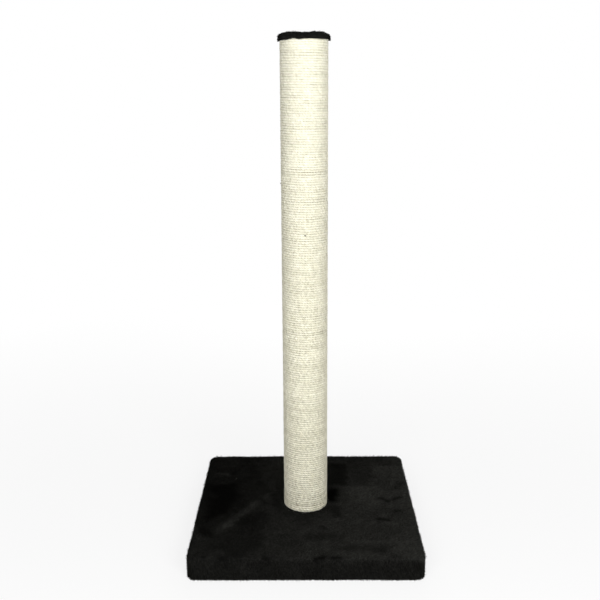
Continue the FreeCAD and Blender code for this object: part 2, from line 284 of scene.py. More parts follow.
def chipboard_finish():
    """Raw chipboard: light and dark chips that lie two ways."""
    made = Finish("chipboard", 0.82, Specular_IOR_Level=0.3)
    flakes = made.cells(made.place(stretch=(1, 0.45, 2.2), turn=(0, 0, 0.5)), 420.0)
    chips = made.cells(made.place(stretch=(0.4, 1, 2.2), turn=(0, 0, -0.3)), 760.0)
    both = made.mix(0.5, flakes, chips)
    grey = made.node("RGBToBW", {"Color": both}).outputs[0]
    made.colour(made.ramp(
        grey, (0.15, rgb(128, 96, 62)), (0.40, rgb(176, 140, 98)),
        (0.62, rgb(206, 173, 127)), (0.9, rgb(228, 201, 158)),
    ))
    made.bump(grey, 0.2 * MM, 0.5)
    made.use("base_board_lower", "base_board_upper")


def plug_finish():
    """Softwood with its grain across the plug."""
    made = Finish("softwood", 0.7, Specular_IOR_Level=0.35)
    grain = made.noise(made.place(stretch=(0.25, 3.0, 3.0), turn=(0, 0, 0.3)), 70.0, 4.0, 0.6, 0.6)
    pores = made.noise(made.place(stretch=(0.06, 1.0, 1.0), turn=(0, 0, 0.3)), 2200.0, 1.0)
    rings = made.ramp(grain, (0.32, rgb(171, 126, 76)), (0.5, rgb(214, 176, 122)), (0.7, rgb(231, 201, 152)))
    made.colour(made.mix(made.ramp(pores, (0.55, 0.0), (0.7, 0.3)), rings, rgb(140, 100, 60)))
    made.bump(grain, 0.1 * MM, 0.4)
    made.use("lower_plug", "upper_plug")


def kraft_finish():
    """Brown spiral wound cardboard, with its seams and fine fibres."""
    made = Finish("kraft_board", 0.85, Specular_IOR_Level=0.25)
    fibres = made.noise(made.place(stretch=(1, 1, 0.25)), 900.0, 3.0, 0.6)
    patches = made.noise(made.place(), 40.0, 2.0)
    spiral = made.node(
        "TexWave", {"Vector": made.place(turn=(0.5, 0, 0)), "Scale": 4.0},
        wave_type="BANDS", bands_direction="Z", wave_profile="SAW",
    ).outputs["Fac"]
    base = made.ramp(fibres, (0.3, rgb(142, 106, 70)), (0.7, rgb(183, 146, 102)))
    tinted = made.mix(made.ramp(patches, (0.4, 0.0), (0.7, 0.4)), base, rgb(166, 126, 84))
    made.colour(made.mix(made.ramp(spiral, (0.0, 0.6), (0.04, 0.0)), tinted, rgb(96, 70, 44)))
    made.bump(fibres, 0.08 * MM, 0.5)
    made.use("post_tube")


def metal_finish(name, tint, shadow, roughness, users):
    """Plated steel with faint rolling marks and cloudy plating."""
    made = Finish(name, roughness, Metallic=1.0)
    clouds = made.noise(made.place(), 240.0, 3.0, 0.6)
    marks = made.noise(made.place(stretch=(1, 1, 0.1)), 3000.0, 2.0)
    made.colour(made.mix(made.ramp(clouds, (0.35, 0.0), (0.7, 1.0)), tint, shadow))
    made.set("Roughness", made.ramp(clouds, (0.3, roughness), (0.7, roughness + 0.18)))
    made.bump(marks, 0.02 * MM, 0.4)
    made.use(*users)


def rubber_finish():
    """Black foam rubber, with fine pores and a dusty bloom."""
    made = Finish("foam_rubber", 0.9, Specular_IOR_Level=0.3)
    pores = made.cells(made.place(), 1700.0, "Distance")
    dust = made.noise(made.place(), 160.0, 3.0)
    made.colour(made.mix(made.ramp(dust, (0.4, 0.0), (0.7, 0.5)), rgb(24, 24, 25), rgb(52, 51, 50)))
    made.bump(pores, 0.15 * MM, 0.7)
    made.use(*(n for n in nodes if n.startswith("foot_pad")))


def frame_finishes():
    chipboard_finish()
    plug_finish()
    kraft_finish()
    zinc = ("post_bolt", "lock_washer", "penny_washer", "tee_nut", "base_board_screws")
    metal_finish("zinc_plate", rgb(196, 199, 202), rgb(160, 163, 168), 0.34, zinc)
    wire = ("hem_staples", "rope_end_staples", "lower_plug_tacks", "upper_plug_tacks")
    metal_finish("staple_wire", rgb(186, 187, 190), rgb(150, 150, 152), 0.30, wire)
    rubber_finish()


# ---------------------------------------------------------------- the sisal winding

ROPE_PITCH = 4.66 * MM          # from one turn to the next, up the post
ROPE_CREST = 2.46 * MM          # from the rope's line to the outside of a strand
ROPE_LAY = 15.0 * MM            # rope length in which the strands go once round
STRANDS = 3
LANE_APART = 50 * MM            # how far apart the strands are in the field of their lumps
TURN_STRAY = 20 * MM            # and the turns, so that no two neighbours swell alike
TWIST_DRIFT = 0.15              # how unevenly the rope is twisted, in lays
RADIUS_DRIFT = 0.10 * MM        # how far its line strays, out and in, and up and down
HEIGHT_DRIFT = 0.16 * MM
SWELL_RUN = 40 * MM             # how far apart the turns are in the field of the rope's slow swell
SLOW_SWELL = 0.03               # and how much that is, as a share of the rope's crest
ROPE_LUMPS = 0.85               # the shares of a lump that all strands have, and each by itself
STRAND_LUMPS = 0.4
THIN_PLACES = 64                # short stretches where the rope is thinner
THIN_WIDTHS = (0.05, 0.20)      # how long they are, as a share of a turn
THIN_DEPTHS = (0.06, 0.15)      # and how much thinner, as a share of the crest
STRAND_POINTS = (0.74, 0.93, 1.0, 0.93)      # one strand's outline, as shares of the crest
STEPS_PER_TURN = 200
WINDING_PARTS = ("foot", "low", "middle", "high", "top")
TUBE_GAP = 0.05 * MM
FIBRES = 11800
FIBRE_PARTS = 2
FIBRE_STEPS = 6
FIBRE_SIDES = 3
SHED_WISP = (-156, 106, 0)      # where a wisp of shed fibre lies, in the plan of the base, in mm
HUSK_TURNS = (144.74, 124.497)  # where two large dark bits of husk show, in turns up the post
HUSK_RADIUS = 1.6               # in mm, as are the other fibres' radii
HUSK_LENGTH = 3.4 * MM
HUSK_STAND = 0.7 * MM           # how much further out these two lie

# These are values from the top of the post to its foot. The rope is neat and tight at the top of the post,
# and rougher towards its foot; the painted shade in its grooves and on its swells grows stronger there too.
ROPE_SQUARENESS = (7.5, 2.3)    # 2 is a round rope; turns pressed together are squarer
ROPE_FULLNESS = (1.03, 1.00)    # how thick it is, as a share of the crest
ROPE_TONE = (0.96, 0.90, 0.97)  # how light it is
GROOVE_SHADE = (0.0, 0.22)      # how much darker painted shade makes the grooves between strands
TURN_GROOVE_SHADE = (0.0, 0.40, 1.0)  # and the painted shade in those between turns
STRAND_SWELL = (0.04, 0.06, 0.08)    # how far a strand thickens and thins, as a share
STRAND_SWELL_LIGHT_AND_SHADE = (0.05, 0.07, 0.13)     # painted light where a strand is thick, and painted shade where it is thin
TURN_TONE = (0.012, 0.06)       # how much the turns differ from each other
TURN_SHIFT = (0.04, 0.14)       # how far a turn strays up or down, in mm
FIBRE_LIFT = (0.35, 0.75)       # how far a loose fibre stands off, in mm


def by_turn(turn, values):
    """A value at each place along the rope, between those of the turns below and above it."""
    return np.interp(turn, np.arange(len(values)), values)


class Winding:
    """Where the rope runs: its line round the post, its thickness and its twist."""

    def __init__(self):
        self.tube_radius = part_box("post_tube")[1].x
        rope_low, rope_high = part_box("sisal_rope_lower_turns")
        self.start = rope_low.z + ROPE_CREST
        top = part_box("sisal_rope_upper_turns")[1].z - ROPE_CREST
        self.radius = rope_high.x - ROPE_CREST
        self.turns = round((top - self.start) / ROPE_PITCH)
        self.pitch = (top - self.start) / self.turns
        self.height_drift = ripples(3, 18 * MM, 90 * MM)
        self.radius_drift = ripples(4, 25 * MM, 120 * MM)
        self.swell = ripples(5, 30 * MM, 300 * MM)
        self.lumps = ripples(7, 5.5 * MM, 12 * MM, favour=(4, 1, 1))
        self.twist_drift = ripples(8, 25 * MM, 90 * MM)
        draw = np.random.RandomState(6)
        self.turn_tone = draw.normal(0, 1, self.turns + 2)
        self.turn_shift = draw.normal(0, 1, self.turns + 2)
        self.turn_lay = draw.uniform(0.92, 1.08, self.turns + 2)
        self.thin = self.thin_places(draw)

    def thin_places(self, draw):
        """Where the rope is thinner: at which turn, over what share of a turn and by how much."""
        many = THIN_PLACES
        near_top = draw.rand(many) < 0.6
        at = self.turns * np.where(near_top, 0.55 + 0.45 * draw.rand(many), draw.rand(many))
        return np.stack([at, draw.uniform(*THIN_WIDTHS, many), draw.uniform(*THIN_DEPTHS, many)], -1)

    def line(self, turn):
        """Points on the rope's line, and the directions out from the post and along the rope."""
        angle = TAU * turn
        out = np.stack([np.sin(angle), np.cos(angle), np.zeros_like(angle)], -1)
        plain = self.radius * out
        plain[..., 2] = self.start + self.pitch * turn
        fade = np.clip(np.minimum(turn, self.turns - turn), 0, 1)
        shift = MM * self.worn(turn, TURN_SHIFT) * by_turn(turn, self.turn_shift)
        point = plain + out * (RADIUS_DRIFT * self.radius_drift(plain))[..., None]
        point[..., 2] += fade * (HEIGHT_DRIFT * self.height_drift(plain) + shift)
        climb = self.pitch / (TAU * self.radius)
        along = np.stack([np.cos(angle), -np.sin(angle), np.full_like(angle, climb)], -1)
        return point, out, unit(along)

    def thickness(self, turn):
        """The rope's crest at each turn, thinner in the thin places."""
        swell = self.swell(np.stack([turn * SWELL_RUN, turn * 0, turn * 0], -1))
        share = self.worn(turn, ROPE_FULLNESS) + SLOW_SWELL * swell
        for at, width, depth in self.thin:
            share = share - depth * np.exp(-(((turn - at) / width) ** 2) * 2)
        return ROPE_CREST * share

    def twist(self, turn):
        """How far the strands have gone round the rope, in radians."""
        lays = TAU * self.radius / ROPE_LAY * np.concatenate([[0], np.cumsum(self.turn_lay)[:-1]])
        drift = TWIST_DRIFT * self.twist_drift(self.along_rope(turn))
        return TAU * (by_turn(turn, lays) + drift)

    def along_rope(self, turn, lane=0):
        """The rope laid out straight, for the fields that vary along it."""
        run = TAU * self.radius * turn
        stray = TURN_STRAY * by_turn(turn, self.turn_shift)
        return np.stack([run, np.full_like(run, lane * LANE_APART), stray], -1)

    def worn(self, turn, values):
        """A value that changes evenly from the top of the post to its foot."""
        return np.interp(1 - turn / self.turns, np.linspace(0, 1, len(values)), values)

    def tone(self, turn):
        """How light the rope is at each turn."""
        return self.worn(turn, ROPE_TONE) * (1 + self.worn(turn, TURN_TONE) * by_turn(turn, self.turn_tone))


def winding_points(winding, turn, around, shares, swell):
    """The rope's outside: rings of points round its line, then the middles of its two ends."""
    point, out, along = winding.line(turn)
    side = np.cross(along, out)
    power = winding.worn(turn, ROPE_SQUARENESS)[:, None]
    squared = (np.abs(np.cos(around)) ** power + np.abs(np.sin(around)) ** power) ** (-1 / power)
    thick = 1 + winding.worn(turn, STRAND_SWELL)[:, None] * swell
    reach = winding.thickness(turn)[:, None] * thick * shares * squared
    inmost = winding.tube_radius + TUBE_GAP - np.hypot(point[:, 0], point[:, 1])
    outward = np.maximum(reach * np.cos(around), inmost[:, None])
    upward = reach * np.sin(around)
    rings = point[:, None] + outward[..., None] * out[:, None] + upward[..., None] * side[:, None]
    return np.concatenate([rings.reshape(-1, 3), point[[0, -1]]])


def winding_tone_and_painted_shade(winding, turn, around, shares, swell):
    """How light the rope is at the same points: its tone, with painted shade in its grooves, painted light
    where it is thick and painted shade where it is thin.
    """
    depth = (shares.max() - shares) / (shares.max() - shares.min())
    shade = 1 - winding.worn(turn, GROOVE_SHADE)[:, None] * depth ** 2
    sunk = np.clip(1 - np.cos(around), 0, 1)
    shade = shade * (1 - winding.worn(turn, TURN_GROOVE_SHADE)[:, None] * sunk ** 1.5)
    # painted light on the swells of the strands, painted shade where they are thin
    painted_swell_light = 1 + winding.worn(turn, STRAND_SWELL_LIGHT_AND_SHADE)[:, None] * swell
    tone = winding.tone(turn)
    light = tone[:, None] * shade * painted_swell_light
    return np.concatenate([light.ravel(), tone[[0, -1]]])


def winding_part(winding, number, material):
    """One stretch of the rope, as three twisted strands, closed at both ends."""
    share = winding.turns / len(WINDING_PARTS)
    steps = round(share * STEPS_PER_TURN)
    turn = share * number + np.arange(steps + 1) * share / steps
    shares = np.tile(STRAND_POINTS, STRANDS)
    sides = len(shares)
    own = TAU * np.arange(sides) / sides
    around = own + winding.twist(turn)[:, None]
    strands = [winding.lumps(winding.along_rope(turn, strand + 1)) for strand in range(STRANDS)]
    swell = ROPE_LUMPS * winding.lumps(winding.along_rope(turn))[:, None]
    swell = swell + STRAND_LUMPS * np.stack(strands, -1).repeat(sides // STRANDS, 1)
    first = np.arange(sides)
    last = steps * sides + first
    middle = (steps + 1) * sides
    fans = np.concatenate([
        np.stack([np.roll(first, -1), first, np.full(sides, middle)], -1),
        np.stack([last, np.roll(last, -1), np.full(sides, middle + 1)], -1),
    ])
    points = winding_points(winding, turn, around, shares, swell)
    faces = [grid_faces(steps + 1, sides), fans]
    piece = mesh_piece("sisal_winding_" + WINDING_PARTS[number], points, faces, material, "sisal")
    run = TAU * winding.radius * turn
    grain = np.broadcast_arrays(ROPE_CREST * np.cos(own), ROPE_CREST * np.sin(own), run[:, None])
    grain = np.stack(grain, -1).reshape(-1, 3)
    point_values(piece, "grain", np.concatenate([grain, [[0, 0, run[0]], [0, 0, run[-1]]]]))
    # The rope's tone, with its painted shade and painted light.
    point_values(piece, "tone", winding_tone_and_painted_shade(winding, turn, around, shares, swell))
    corner_places(piece, winding_places(turn, sides, fans))
    replaced = ["sisal_winding"]
    if number == 0:
        replaced.append("sisal_rope_lower_turns")
    if number == len(WINDING_PARTS) - 1:
        replaced.append("sisal_rope_upper_turns")
    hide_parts(*replaced)


def winding_places(turn, sides, fans):
    """The flat map of a stretch of rope: each turn is one strip, from the left edge to the right."""
    first = math.floor(turn[0])
    strips = math.ceil(turn[-1]) - first
    begin = (turn[:-1] + turn[1:]) / 2
    strip = np.floor(begin)
    left = np.clip(turn[:-1] - strip, 0, 1)
    right = np.clip(turn[1:] - strip, 0, 1)
    across = np.arange(sides + 1) / sides
    low = (strip[:, None] - first + across[None, :-1]) / strips
    high = (strip[:, None] - first + across[None, 1:]) / strips
    left = np.repeat(left[:, None], sides, 1)
    right = np.repeat(right[:, None], sides, 1)
    places = np.stack([left, low, left, high, right, high, right, low], -1).reshape(-1, 2)
    return np.concatenate([places, np.zeros((fans.size, 2))])


def sweep(name, paths, radius, material):
    """Many thin closed strands as one mesh: paths is strands x points x 3, radius strands x points."""
    strands, steps = paths.shape[:2]
    sides = FIBRE_SIDES
    along = unit(np.gradient(paths, axis=1))
    spare = np.where(np.abs(along[..., 2:3]) < 0.8, [0.0, 0.0, 1.0], [1.0, 0.0, 0.0])
    first = unit(np.cross(along, spare))
    second = np.cross(along, first)
    around = TAU * np.arange(sides) / sides
    ring = np.cos(around)[:, None] * first[:, :, None] + np.sin(around)[:, None] * second[:, :, None]
    points = paths[:, :, None] + ring * radius[:, :, None, None]
    per = steps * sides
    base = (np.arange(strands) * per)[:, None, None]
    quads = (grid_faces(steps, sides)[None] + base).reshape(-1, 4)
    start = np.arange(sides)[::-1]
    end = (steps - 1) * sides + np.arange(sides)
    caps = (np.stack([start, end])[None] + base).reshape(-1, sides)
    return mesh_piece(name, points.reshape(-1, 3), [quads, caps], material, "sisal")


def sprung_fibres(winding, draw, many):
    """Fibres that lie along the rope and lift off it: their points, from root to tip."""
    turn = draw.uniform(0.3, winding.turns - 1.6, many)
    point, out, along = winding.line(turn)
    up = np.cross(along, out)
    around = draw.normal(0, 0.55, many)
    crest = winding.thickness(turn) * 0.93
    root = point + (np.cos(around) * crest)[:, None] * out + (np.sin(around) * crest)[:, None] * up
    length = draw.gamma(3.0, 3.0, many) * MM + 3 * MM
    slant = draw.normal(0.5, 0.5, many)
    side = np.where(draw.rand(many) < 0.5, 1, -1)[:, None]
    heading = side * (np.cos(slant)[:, None] * along + np.sin(slant)[:, None] * up)
    lift = np.minimum(winding.worn(turn, FIBRE_LIFT) * draw.gamma(1.2, 1.0, many), 3.5) * MM
    share = np.linspace(0, 1, FIBRE_STEPS)
    reach = length[:, None] * share
    line = root[:, None] + reach[..., None] * heading[:, None]
    line[..., 2] += draw.normal(0, 0.10, many)[:, None] * reach * share
    spread = np.hypot(line[..., 0], line[..., 1])
    wanted = np.hypot(root[:, 0], root[:, 1])[:, None] + lift[:, None] * share ** 1.7
    line[..., :2] *= (wanted / spread)[..., None]
    lowest = winding.start + 2 * MM
    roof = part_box("cap_plush")[0].z - 1 * MM
    line[..., 2] = np.clip(line[..., 2], lowest, roof + 0.3 * (line[:, :1, 2] - roof))
    return line


def shed_fibres(winding, draw):
    """Short fibres that lie on the plush round the foot, most at the front, and a wisp at the back left."""
    many = 12
    side = draw.normal(-1.4, 1.1, many)
    away = winding.radius + ROPE_CREST + draw.gamma(1.5, 2.5, many) * MM
    root = np.stack([away * np.cos(side), away * np.sin(side), np.zeros(many)], -1)
    root[:2] = np.array([SHED_WISP]) * MM + draw.normal(0, 1.5, (2, 3)) * MM
    root[:, 2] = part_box("base_plush_cover")[1].z + 2.2 * MM
    bearing = draw.uniform(0, TAU, many)
    curl = draw.normal(0, 1.2, many)
    length = draw.uniform(3, 8, many) * MM
    turn = bearing[:, None] + curl[:, None] * np.linspace(0, 1, FIBRE_STEPS)
    ahead = np.stack([np.cos(turn), np.sin(turn), 0.15 * np.sin(5 * turn)])
    step = length[:, None] / (FIBRE_STEPS - 1) * ahead
    line = root[:, None] + np.cumsum(step, -1).transpose(1, 2, 0)
    spread = np.hypot(line[..., 0], line[..., 1])
    line[..., :2] *= (np.maximum(spread, winding.radius + ROPE_CREST + 0.3 * MM) / spread)[..., None]
    return line


def husk_bits(winding, draw):
    """Short dark bits of husk between the fibres: two that the photo shows, and more at random."""
    placed = len(HUSK_TURNS)
    turn = np.concatenate([HUSK_TURNS, draw.uniform(1, winding.turns - 4, 40)])
    point, out, along = winding.line(turn)
    length = draw.uniform(1.2, 3.5, len(turn)) * MM
    length[:placed] = HUSK_LENGTH
    reach = length[:, None] * np.linspace(-0.5, 0.5, FIBRE_STEPS)
    crest = (winding.thickness(turn) * 0.98)[:, None]
    crest[:placed] += HUSK_STAND
    return (point + crest * out)[:, None] + reach[..., None] * along[:, None]


def fibre_places(many):
    """The flat map of many fibres: each has a cell of its own, with a margin."""
    rows = math.ceil(math.sqrt(many))
    cell = np.stack([np.arange(many) % rows, np.arange(many) // rows], -1)[:, None]
    square = np.array([[0.2, 0.2], [0.8, 0.2], [0.8, 0.8], [0.2, 0.8]])
    sheath = (cell + np.tile(square, ((FIBRE_STEPS - 1) * FIBRE_SIDES, 1))).reshape(-1, 2)
    ends = (cell + np.tile(square[:3], (2, 1))).reshape(-1, 2)
    return np.concatenate([sheath, ends]) / rows


def loose_fibres(winding, material):
    """Fine fibres that have sprung from the rope, a few shed on the plush, and dark bits of husk."""
    draw = np.random.RandomState(11)
    for part in range(FIBRE_PARTS):
        line = sprung_fibres(winding, draw, FIBRES // FIBRE_PARTS)
        husks = placed = 0
        if part == 0:
            bits = husk_bits(winding, draw)
            husks, placed = len(bits), len(HUSK_TURNS)
            line = np.concatenate([bits, line, shed_fibres(winding, draw)])
        many = len(line)
        radius = draw.uniform(0.055, 0.11, many)
        radius[:husks] = draw.uniform(0.25, 0.55, husks)
        radius[:placed] = HUSK_RADIUS
        radius = radius[:, None] * MM * np.linspace(1.0, 0.45, FIBRE_STEPS)
        piece = sweep(f"sisal_loose_fibres_{part + 1}", line, radius, material)
        own = FIBRE_STEPS * FIBRE_SIDES
        point_values(piece, "grain", np.repeat(draw.uniform(-1, 1, (many, 3)), own, 0))
        tone = draw.uniform(0.8, 1.06, many)
        tone[:husks] = draw.uniform(0.04, 0.2, husks)
        point_values(piece, "tone", np.repeat(tone, own))
        corner_places(piece, fibre_places(many))
        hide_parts("sisal_winding")


def sisal():
    winding = Winding()
    rope = sisal_finish("sisal_rope", (2600.0, 2600.0, 70.0))
    for number in range(len(WINDING_PARTS)):
        winding_part(winding, number, rope)
    loose_fibres(winding, sisal_finish("sisal_fibre", (2.0, 2.0, 2.0)))


# ---------------------------------------------------------------- the plush

PLUSH_TINT = (1.0, 1.0, 0.90, 1.0)
PILE_DEPTH = 1.6 * MM           # from the cloth up to the face of the plain solid
TOP_STAND = 1.2 * MM            # how far the cloth stands over the plain solid's top
PILE_GAIN = 2.0                 # makes up for the shade inside the pile
CLOTH_PAINTED_SHADE = 0.7               # painted shade: how much darker the cloth is between the tufts
CLOTH_BACK = 0.15 * MM          # clear of what the cloth is stretched over
TUFT_LENGTH = 4.2 * MM
TUFT_FOOT = 0.80 * MM
TUFT_ROOT_PAINTED_SHADE = 0.75                # painted shade: how dark a tuft's root is beside its tip
TUFT_SPOT = 0.0006              # a tuft's share of the flat map's side
BASE_TUFTS = 144000
PILE_PARTS = 3
PLAN_CORNER = 19.0 * MM         # the covered base's corners, seen from above
TOP_ROUND = 8.0 * MM            # from the top's nap to that of the sides
CLOTH_TOP_ROUND = 5.0 * MM      # how the cloth itself turns down over the top's edge
CLOTH_LOW_ROUND = 1.5 * MM      # and under at the bottom
CLOTH_SWAY = 0.35 * MM          # how far the cloth is out of true on the sides, and on the top
CLOTH_SWELL = 0.40 * MM
HEM_WIDTH = 39.5 * MM
HEM_CORNER = 3.0 * MM
HEM_LIFT = 0.7 * MM
STAPLE_PULL = 1.25 * MM         # how far the staples pull the hem up, in a valley of this half width
STAPLE_VALLEY = 7.0 * MM
PILE_PRESSED = 1.2 * MM         # how far from a staple's crown the pile is pressed flat
BOARD_CORNER = 12.0 * MM
BOLT_HOLE = 6.0 * MM
SEAT_GAP = 0.45 * MM
SIDE_STEPS = 136
CORNER_STEPS = 16
QUARTERS = (0, TAU / 4, TAU / 2, 3 * TAU / 4)

# Painted sheen and shade: how light the brushed nap looks, as a screen level from 0 to 255, in the plan of
# the base in mm. A patch has three or more corners and a soft border, a stroke two ends and a width.
NAP_LEVEL = 25
NAP_SIDES = 16
NAP_SHEEN_PATCHES = (
    (((105, 215), (225, 215), (225, -225), (-5, -215), (-15, -120), (60, -35), (80, 50), (100, 70)), 22, 35),
    (((98, 215), (150, 215), (150, 110), (134, 72), (98, 74)), 14, 23),
    (((-225, 215), (-50, 215), (-50, 60), (-80, 42),
      (-130, -30), (-172, -92), (-200, -140), (-225, -90)), 7, 14),
    (((-125, 215), (-45, 215), (-45, 30), (-62, 25), (-82, 60), (-100, 120)), 14, 25),
    (((-212, 80), (-155, 80), (-145, 20), (-165, -50), (-205, -90)), 16, 2),
    (((-188, -180), (-128, -60), (-84, -34), (-80, -75), (-90, -125), (-80, -177), (-130, -218)), 16, 14),
    (((48, 180), (92, 180), (92, 110), (86, 76), (48, 76)), 12, 9),
    (((-205, 160), (-150, 165), (-165, 135), (-205, 140)), 12, 11),
)
NAP_SHEEN_STROKES = (
    ((-196, -158), (-162, -104), 5, 23),
    ((-162, -104), (-108, -18), 5, 35),
    ((-108, -18), (-71, 43), 5, 26),
    ((-206, -110), (-190, -140), 10, 8),
    ((-100, 12), (-88, -8), 10, 14),
    ((-162, -97), (-107, -6), 8, 31),
    ((-172, -150), (-190, -190), 16, 16),
    ((-201, 130), (-172, 124), 6, 24),
    ((-165, 130), (-145, 168), 4, 7),
    ((-212, 40), (-196, 20), 9, 9),
    ((-70, 30), (-60, -20), 9, 15),
    # painted shade just right of the post's foot, the darkest place on the base
    ((54, 14), (58, 44), 12, -8),
    ((58, -32), (66, -58), 12, 19),
    ((60, -145), (10, -140), 16, 25),
    ((80, -184), (145, -192), 15, 22),
    ((160, 195), (205, 185), 20, 25),
    ((156, 15), (172, 3), 5, 16),
    ((186, 8), (206, 16), 5, 19),
    ((150, -75), (168, -80), 6, 18),
    ((184, -40), (196, -44), 6, 23),
    ((176, -100), (200, -78), 14, 38),
    ((195, 60), (212, 84), 8, 25),
    ((170, -150), (212, -172), 9, 35),
    ((212, -120), (216, 60), 6, 36),
    ((30, -108), (36, -112), 5, 20),
    ((-196, -216), (-190, -217), 4, 10),
    ((-162, -218), (-152, -218), 5, 12),
    ((-80, -216), (-68, -216), 5, 12),
    ((16, -219), (32, -219), 5, 9),
    ((50, -217), (62, -216), 4, 11),
    ((-10, -208), (8, -210), 5, 30),
    ((-60, 212), (-210, 214), 6, 20),
)


def square_ring():
    """How a square ring runs: its points are straight part x corners + corner radius x outward."""
    share = -1 + 2 * np.arange(SIDE_STEPS) / SIDE_STEPS
    bend = TAU / 4 * np.arange(CORNER_STEPS) / CORNER_STEPS
    side = np.stack([np.ones(SIDE_STEPS), share], -1)
    corners = np.concatenate([side, np.ones((CORNER_STEPS, 2))])
    round_ = np.stack([np.cos(bend), np.sin(bend)], -1)
    outward = np.concatenate([np.tile([1.0, 0.0], (SIDE_STEPS, 1)), round_])
    turns = [np.array([[math.cos(a), math.sin(a)], [-math.sin(a), math.cos(a)]]) for a in QUARTERS]
    return np.concatenate([corners @ t for t in turns]), np.concatenate([outward @ t for t in turns])


def steps_to(end, count):
    """Evenly spaced values up to an end, without the 0 that they start from."""
    return np.linspace(0, end, count + 1)[1:]


class Shell:
    """A closed sheet of plush, as rings of points, with where each lies when it is laid flat."""

    def __init__(self, count):
        self.count = count
        self.rings = []
        self.flats = []
        self.outer = []

    def ring(self, plan, height, flat, outer):
        heights = np.broadcast_to(height, len(plan))
        self.rings.append(np.concatenate([plan, heights[:, None]], -1))
        self.flats.append(flat)
        self.outer.append(outer)

    def build(self, name, material, size):
        points = np.concatenate(self.rings)
        quads = grid_faces(len(self.rings), self.count, close_rows=True)[:, ::-1]
        piece = mesh_piece(name, points, [quads], material, "black_plush")
        flat = np.concatenate(self.flats)
        corner_places(piece, flat[quads.ravel()] / size + 0.5)
        return piece

    def showing(self):
        """The corners of the outer faces, in space and on the flat cloth."""
        outer = np.array(self.outer)
        rings = np.flatnonzero(outer[:-1] & outer[1:])
        beside = np.roll(np.arange(self.count), -1)
        grids = []
        for values in (np.stack(self.rings), np.stack(self.flats)):
            here, there = values[rings], values[rings + 1]
            squares = np.stack([here, here[:, beside], there[:, beside], there], 2)
            grids.append(squares.reshape(-1, 4, values.shape[-1]))
        return grids


def inside(places, corners):
    """How far places are inside an outline: distances, less than 0 outside."""
    nearest = np.full(len(places), np.inf)
    crossings = np.zeros(len(places), bool)
    for begin, end in zip(corners, np.roll(corners, -1, 0)):
        nearest = np.minimum(nearest, from_line(places, begin, end))
        spans = (begin[1] > places[:, 1]) != (end[1] > places[:, 1])
        with np.errstate(divide="ignore", invalid="ignore"):
            meets = begin[0] + (places[:, 1] - begin[1]) / (end[1] - begin[1]) * (end[0] - begin[0])
        crossings ^= spans & (places[:, 0] < meets)
    return np.where(crossings, nearest, -nearest)


def from_line(places, begin, end):
    """How far places are from a straight line between two points."""
    span = end - begin
    share = np.clip((places - begin) @ span / (span @ span), 0, 1)
    return np.linalg.norm(places - begin - share[:, None] * span, axis=-1)


def base_nap_sheen(flat, field, half):
    """How light the base's nap looks at places on the flat cloth, as a screen level: painted sheen and
    shade, darker on the sides.
    """
    ragged = flat + 0.0025 * np.stack([field(flat[:, [0, 1, 1]] * 2.3), field(flat[:, [1, 0, 0]] * 2.7)], -1)
    level = NAP_LEVEL + 1.6 * field(np.concatenate([flat, np.zeros((len(flat), 1))], -1))
    for corners, border, wanted in NAP_SHEEN_PATCHES:
        depth = inside(ragged, np.array(corners) * MM) / (border * MM)
        share = 1 / (1 + np.exp(-4 * depth))
        level = level + share * (wanted - level)
    for begin, end, width, wanted in NAP_SHEEN_STROKES:
        off = from_line(ragged, np.array(begin) * MM, np.array(end) * MM) / (width * MM)
        share = np.exp(-off ** 2)
        level = level + share * (wanted - level)
    reach = np.abs(flat).max(-1)
    side = np.clip((reach - half) / (6 * MM), 0, 1)
    return level + side * (NAP_SIDES + 1.5 * field(flat[:, [0, 1, 0]] * 1.7) - level)


def as_light(level):
    """A screen level from 0 to 255 as linear light."""
    share = np.clip(level, 0, 255) / 255
    return np.where(share <= 0.04045, share / 12.92, ((share + 0.055) / 1.055) ** 2.4)


def spread(shell, many, draw):
    """Places all over a shell's outer faces: in space, on the flat cloth, and the faces' normals."""
    corners, flats = shell.showing()
    across = np.cross(corners[:, 2] - corners[:, 0], corners[:, 1] - corners[:, 3])
    total = np.cumsum(np.linalg.norm(across, axis=-1) / 2)
    pick = np.searchsorted(total, (np.arange(many) + draw.rand(many)) / many * total[-1])
    pick = np.minimum(pick, len(total) - 1)
    a, b = draw.rand(many, 1), draw.rand(many, 1)
    weights = np.stack([(1 - a) * (1 - b), a * (1 - b), a * b, (1 - a) * b], 1)
    return (corners[pick] * weights).sum(1), (flats[pick] * weights).sum(1), unit(across)[pick]


